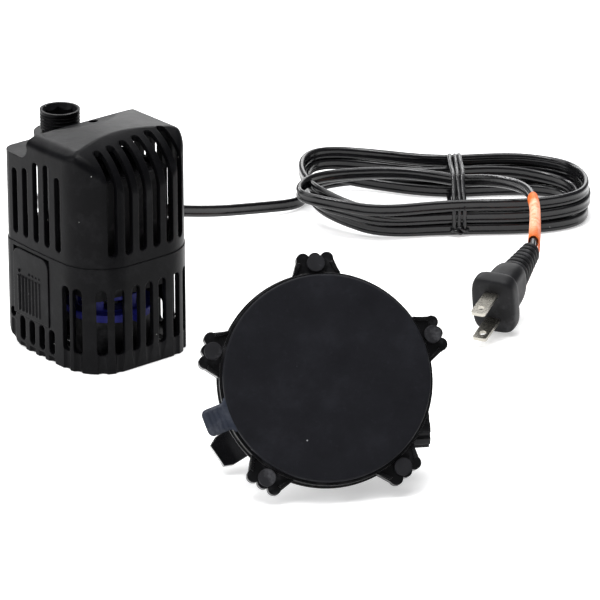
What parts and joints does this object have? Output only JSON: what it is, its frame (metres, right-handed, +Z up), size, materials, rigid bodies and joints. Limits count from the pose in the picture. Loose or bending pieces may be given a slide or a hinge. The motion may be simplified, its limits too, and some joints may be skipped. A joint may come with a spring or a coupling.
{
  "type": "wave maker pump",
  "caption": "Small submersible circulation pump in a slotted strainer cage, with a threaded outlet, tied supply cord, flat-blade plug and lever-lock suction mount.",
  "frame": {"origin": "centre of the pump's flat base, on the surface it stands on", "axes": "+Z up along the outlet, +X to the pump's right, -Y out of its rounded slotted front"},
  "size_m": [0.3424, 0.2942, 0.1016],
  "materials": {
    "casing_plastic": "satin moulded black plastic",
    "motor_plastic": "satin moulded black plastic",
    "resin": "poured epoxy",
    "lamination_steel": "stacked laminations",
    "bobbin_plastic": "natural nylon",
    "copper": "enamelled copper wire",
    "ferrite": "sintered ferrite",
    "impeller_plastic": "moulded",
    "shaft_ceramic": "ground ceramic",
    "black_rubber": "moulded rubber",
    "blue_plastic": "moulded royal blue plastic",
    "gland_rubber": "moulded rubber",
    "cord_pvc": "glossy extruded jacket",
    "tie_plastic": "covered wire",
    "tag_paper": "wrapped coated paper",
    "plug_pvc": "moulded soft plastic",
    "blade_metal": "nickel plated brass",
    "mount_plastic": "moulded black plastic",
    "disc_rubber": "matte rubber",
    "tab_rubber": "smooth rubber",
    "stainless": "stainless steel",
    "plunger_plastic": "moulded",
    "lever_plastic": "polished black plastic",
    "knob_plastic": "moulded"
  },
  "bodies": {
    "pump": {"lower_cage": "casing_plastic", "motor_housing": "motor_plastic", "stator_core": "lamination_steel", "coil_bobbin": "bobbin_plastic", "coil_winding": "copper", "potting": "resin", "rotor_shaft": "shaft_ceramic", "lower_bush": "black_rubber", "upper_bush": "black_rubber", "volute_housing": "motor_plastic", "riser_pipe": "motor_plastic", "riser_seal": "black_rubber", "cord_gland": "gland_rubber", "cord_lead": "cord_pvc", "cord_hank": "cord_pvc", "cord_tie": "tie_plastic", "cord_tail": "cord_pvc", "cord_tag": "tag_paper", "plug_body": "plug_pvc", "plug_strain_relief": "plug_pvc", "plug_blade_upper": "blade_metal", "plug_blade_lower": "blade_metal"},
    "cover": {"upper_cover": "casing_plastic", "outlet_nipple": "casing_plastic"},
    "left_latch": {"left_latch": "casing_plastic"},
    "right_latch": {"right_latch": "casing_plastic"},
    "impeller_cover": {"impeller_cover": "blue_plastic"},
    "rotor": {"rotor_magnet": "ferrite", "impeller": "impeller_plastic"},
    "mount": {"mount_frame": "mount_plastic", "mount_feet": "black_rubber", "plunger_spring": "stainless", "pivot_bolt": "stainless"},
    "plunger": {"suction_disc": "disc_rubber", "pull_tab": "tab_rubber", "plunger_stem": "plunger_plastic", "lever_pin": "stainless"},
    "lever": {"cam_lever": "lever_plastic"},
    "arm": {"swivel_arm": "mount_plastic", "cradle": "mount_plastic"},
    "knob": {"clamp_knob": "knob_plastic"}
  },
  "joints": [
    {"name": "rotor_spin", "type": "hinge", "parent": "pump", "child": "rotor", "pos_m": [0, -0.005, 0.03], "axis": [0, 0, 1], "continuous": true},
    {"name": "cover_lift", "type": "slide", "parent": "pump", "child": "cover", "axis": [0, 0, 1], "range_m": [0, 0.062]},
    {"name": "left_latch_press", "type": "hinge", "parent": "pump", "child": "left_latch", "pos_m": [-0.029, 0.0105, 0.016], "axis": [0, 1, 0], "range_deg": [0, 3.2], "stiffness_Nm_per_rad": 0.8},
    {"name": "right_latch_press", "type": "hinge", "parent": "pump", "child": "right_latch", "pos_m": [0.029, 0.0105, 0.016], "axis": [0, -1, 0], "range_deg": [0, 3.2], "stiffness_Nm_per_rad": 0.8},
    {"name": "impeller_cover_twist", "type": "hinge", "parent": "pump", "child": "impeller_cover", "pos_m": [0, -0.005, 0.02], "axis": [0, 0, 1], "range_deg": [0, 20]},
    {"name": "mount_lift", "type": "slide", "parent": "pump", "child": "mount", "axis": [0, 0, 1], "range_m": [0, 0.06]},
    {"name": "lever_swing", "type": "hinge", "parent": "plunger", "child": "lever", "pos_m": [-0.00634, -0.14999, 0.02985], "axis": [0.2041, -0.6382, -0.7423], "range_deg": [0, 90]},
    {"name": "plunger_slide", "type": "slide", "parent": "mount", "child": "plunger", "axis": [-0.4653, -0.7304, 0.5], "range_m": [0, 0.002]},
    {"name": "arm_tilt", "type": "hinge", "parent": "mount", "child": "arm", "pos_m": [0.00056, -0.18011, 0.01928], "axis": [0.8434, -0.5373, 0], "range_deg": [0, 55]},
    {"name": "knob_turn", "type": "hinge", "parent": "mount", "child": "knob", "pos_m": [0.00056, -0.18011, 0.01928], "axis": [0.8434, -0.5373, 0], "range_deg": [0, 270]}
  ],
  "couplings": [
    {"joint": "plunger_slide", "follows": "lever_swing", "m_per_rad": 0.0012731}
  ]
}
